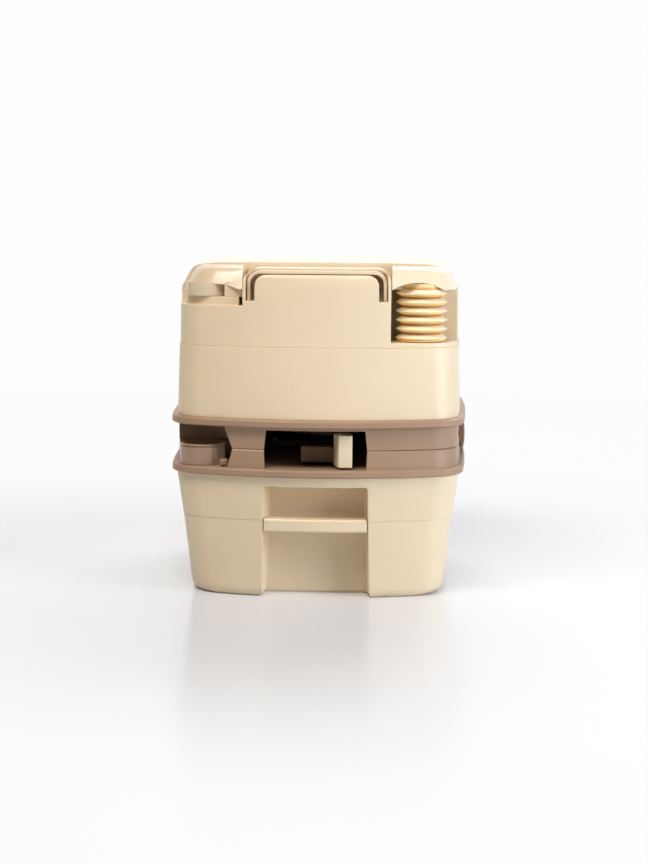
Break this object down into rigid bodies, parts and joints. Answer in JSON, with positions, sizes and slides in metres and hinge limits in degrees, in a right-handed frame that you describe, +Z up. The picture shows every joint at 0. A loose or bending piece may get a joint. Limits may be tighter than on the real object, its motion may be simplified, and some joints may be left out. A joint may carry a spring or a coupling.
{
  "type": "portable toilet",
  "caption": "Portable camping toilet: a flush tank with bowl, seat and lid latched onto a waste tank with a slide valve, bellows flush pump and strap handle.",
  "frame": {"origin": "middle of the foot, on the surface the toilet stands on", "axes": "+Z up, +X to the right seen from the side with the pump and the slide valve, +Y towards the hinge side"},
  "size_m": [0.37, 0.415, 0.4053],
  "materials": {
    "cream_shell": "satin moulded plastic with a fine grain",
    "cream_gloss": "glossy moulded plastic",
    "brown_moulding": "satin moulded plastic",
    "dark_moulding": "satin moulded plastic",
    "bellows_rubber": "soft moulded rubber",
    "seal_rubber": "black rubber",
    "clear_tube": "translucent tube",
    "screw_steel": "plain steel"
  },
  "bodies": {
    "body": {"waste_tank": "cream_shell", "tank_handle": "cream_shell", "waste_deck": "brown_moulding", "spout_seal": "seal_rubber", "valve_body": "dark_moulding", "valve_screws": "screw_steel", "valve_seal": "seal_rubber", "latch_pins": "screw_steel", "flush_base": "brown_moulding", "bowl_seal": "seal_rubber", "flush_tank": "cream_shell", "tank_top": "cream_shell", "bowl": "cream_gloss", "filler_neck": "cream_shell", "filler_seal": "seal_rubber", "pump_base": "cream_shell", "water_tube": "clear_tube", "flush_nozzle": "cream_shell", "hinge_pins": "screw_steel"},
    "seat_part": {"seat": "cream_gloss", "seat_bumpers": "seal_rubber"},
    "lid_part": {"lid": "cream_gloss", "lid_bumpers": "seal_rubber"},
    "filler_part": {"fill_cap": "cream_gloss"},
    "pump_part": {"pump_cap": "cream_gloss", "bellows": "bellows_rubber"},
    "handle_part": {"carry_handle": "cream_shell"},
    "latch_left_part": {"latch_left": "brown_moulding"},
    "latch_right_part": {"latch_right": "brown_moulding"},
    "valve_part": {"valve_blade": "dark_moulding", "valve_rod": "dark_moulding", "valve_grip": "cream_shell"},
    "spout_part": {"spout_cap": "brown_moulding"},
    "button_part": {"vent_button": "brown_moulding"}
  },
  "joints": [
    {"name": "seat_hinge", "type": "hinge", "parent": "body", "child": "seat_part", "pos_m": [0, 0.176, 0.391], "axis": [-1, 0, 0], "range_deg": [0, 85]},
    {"name": "lid_hinge", "type": "hinge", "parent": "seat_part", "child": "lid_part", "pos_m": [0, 0.176, 0.391], "axis": [-1, 0, 0], "range_deg": [0, 92]},
    {"name": "fill_cap_lift", "type": "slide", "parent": "body", "child": "filler_part", "axis": [0, 0, 1], "range_m": [0, 0.04]},
    {"name": "pump_press", "type": "slide", "parent": "body", "child": "pump_part", "axis": [0, 0, -1], "range_m": [0, 0.028], "stiffness_N_per_m": 600, "deforming": ["bellows"]},
    {"name": "handle_lift", "type": "slide", "parent": "body", "child": "handle_part", "axis": [0, 0, 1], "range_m": [0, 0.019]},
    {"name": "latch_left_swing", "type": "hinge", "parent": "body", "child": "latch_left_part", "pos_m": [-0.18, 0, 0.1655], "axis": [0, -1, 0], "range_deg": [0, 65]},
    {"name": "latch_right_swing", "type": "hinge", "parent": "body", "child": "latch_right_part", "pos_m": [0.18, 0, 0.1655], "axis": [0, 1, 0], "range_deg": [0, 65]},
    {"name": "valve_pull", "type": "slide", "parent": "body", "child": "valve_part", "axis": [0, -1, 0], "range_m": [0, 0.1]},
    {"name": "spout_cap_turn", "type": "hinge", "parent": "body", "child": "spout_part", "pos_m": [-0.141, -0.148, 0.17], "axis": [0, 0, 1], "range_deg": [0, 360]},
    {"name": "button_press", "type": "slide", "parent": "body", "child": "button_part", "axis": [0, 0, -1], "range_m": [0, 0.0024], "stiffness_N_per_m": 300}
  ]
}
